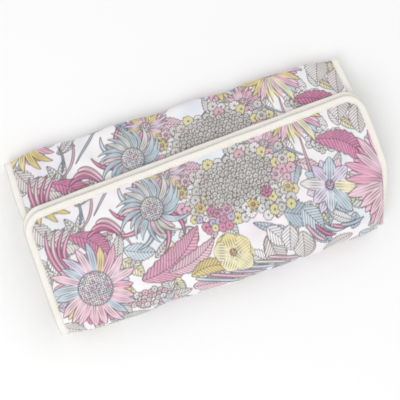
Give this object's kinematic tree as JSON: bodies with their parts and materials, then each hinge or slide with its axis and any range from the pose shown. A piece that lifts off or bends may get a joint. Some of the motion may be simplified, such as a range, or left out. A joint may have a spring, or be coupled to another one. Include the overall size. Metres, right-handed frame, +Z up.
{
  "type": "hanging toiletry bag",
  "caption": "Folding padded fabric toiletry bag with a bound flap, zipped clear pouches and a swing hook to hang it open.",
  "frame": {"origin": "centre of the back panel's outer face, where the closed bag rests", "axes": "+X across the bag along the folds, +Y from the flap's fold towards the top fold, +Z up out of the back panel"},
  "size_m": [0.302, 0.148, 0.034],
  "materials": {
    "floral_fabric": null,
    "lining": "plain cream woven lining",
    "foam": "soft foam sheet",
    "binding": "cream twill binding tape, stitched",
    "clear_film": "clear flexible film",
    "zip_tape": "cream woven zip tape",
    "zip_coil": "cream nylon coil",
    "zip_metal": "nickel-plated",
    "hook_metal": "nickel-plated, polished",
    "closure_tape": "cream hook-and-loop tape",
    "webbing": "cream woven webbing"
  },
  "bodies": {
    "back": {"back_cover": "floral_fabric", "back_padding": "foam", "back_lining": "lining", "back_binding": "binding", "main_pouch_gusset": "lining", "main_pouch_window": "clear_film", "main_pouch_header": "lining", "main_pouch_binding": "binding", "main_zip_tape": "zip_tape", "main_zip_coil": "zip_coil", "main_zip_stops": "zip_metal"},
    "near_spine": {"near_spine_cover": "floral_fabric", "near_spine_padding": "foam", "near_spine_lining": "lining", "near_spine_binding": "binding"},
    "flap": {"flap_cover": "floral_fabric", "flap_padding": "foam", "flap_lining": "lining", "flap_binding": "binding", "flap_pouch_base": "floral_fabric", "flap_pouch_binding": "binding", "flap_pouch_gusset": "lining", "flap_pouch_window": "clear_film", "flap_pouch_header": "lining", "flap_zip_tape": "zip_tape", "flap_zip_coil": "zip_coil", "flap_zip_stops": "zip_metal", "closure_hook_tape": "closure_tape"},
    "far_spine": {"far_spine_cover": "floral_fabric", "far_spine_lining": "lining", "far_spine_binding": "binding"},
    "top_panel": {"top_cover": "floral_fabric", "top_padding": "foam", "top_lining": "lining", "top_binding": "binding", "closure_loop_tape": "closure_tape", "hanger_tab": "webbing", "hook_base_plate": "hook_metal", "hook_rivet": "hook_metal"},
    "hook": {"hanging_hook": "hook_metal"},
    "main_slider": {"main_zip_slider": "zip_metal"},
    "main_puller": {"main_zip_puller": "zip_metal"},
    "flap_slider": {"flap_zip_slider": "zip_metal"},
    "flap_puller": {"flap_zip_puller": "zip_metal"}
  },
  "joints": [
    {"name": "flap_fold", "type": "hinge", "parent": "back", "child": "near_spine", "pos_m": [0, -0.074, 0], "axis": [1, 0, 0], "range_deg": [0, 90]},
    {"name": "flap_ridge", "type": "hinge", "parent": "near_spine", "child": "flap", "pos_m": [0, -0.074, 0.034], "axis": [1, 0, 0], "range_deg": [0, 90]},
    {"name": "top_fold", "type": "hinge", "parent": "back", "child": "far_spine", "pos_m": [0, 0.074, 0], "axis": [-1, 0, 0], "range_deg": [0, 90]},
    {"name": "top_ridge", "type": "hinge", "parent": "far_spine", "child": "top_panel", "pos_m": [0, 0.074, 0.012], "axis": [-1, 0, 0], "range_deg": [0, 77]},
    {"name": "hook_pivot", "type": "hinge", "parent": "top_panel", "child": "hook", "pos_m": [0, 0.03139, 0.01414], "axis": [0, -0.225, -0.9744], "range_deg": [0, 90]},
    {"name": "main_zip_slide", "type": "slide", "parent": "back", "child": "main_slider", "axis": [-1, 0, 0], "range_m": [0, 0.23]},
    {"name": "main_pull_hinge", "type": "hinge", "parent": "main_slider", "child": "main_puller", "pos_m": [0.116, 0.056, 0.0098], "axis": [0, 1, 0], "range_deg": [0, 90]},
    {"name": "flap_zip_slide", "type": "slide", "parent": "flap", "child": "flap_slider", "axis": [-1, 0, 0], "range_m": [0, 0.23]},
    {"name": "flap_pull_hinge", "type": "hinge", "parent": "flap_slider", "child": "flap_puller", "pos_m": [0.116, -0.054, 0.0166], "axis": [0, -1, 0], "range_deg": [0, 90]}
  ],
  "couplings": [
    {"joint": "flap_ridge", "follows": "flap_fold", "ratio": 1},
    {"joint": "top_fold", "follows": "flap_fold", "ratio": 1},
    {"joint": "top_ridge", "follows": "flap_fold", "ratio": 0.85556},
    {"joint": "hook_pivot", "follows": "flap_fold", "ratio": 1},
    {"joint": "main_pull_hinge", "follows": "flap_fold", "ratio": 1},
    {"joint": "flap_pull_hinge", "follows": "flap_fold", "ratio": 1}
  ]
}
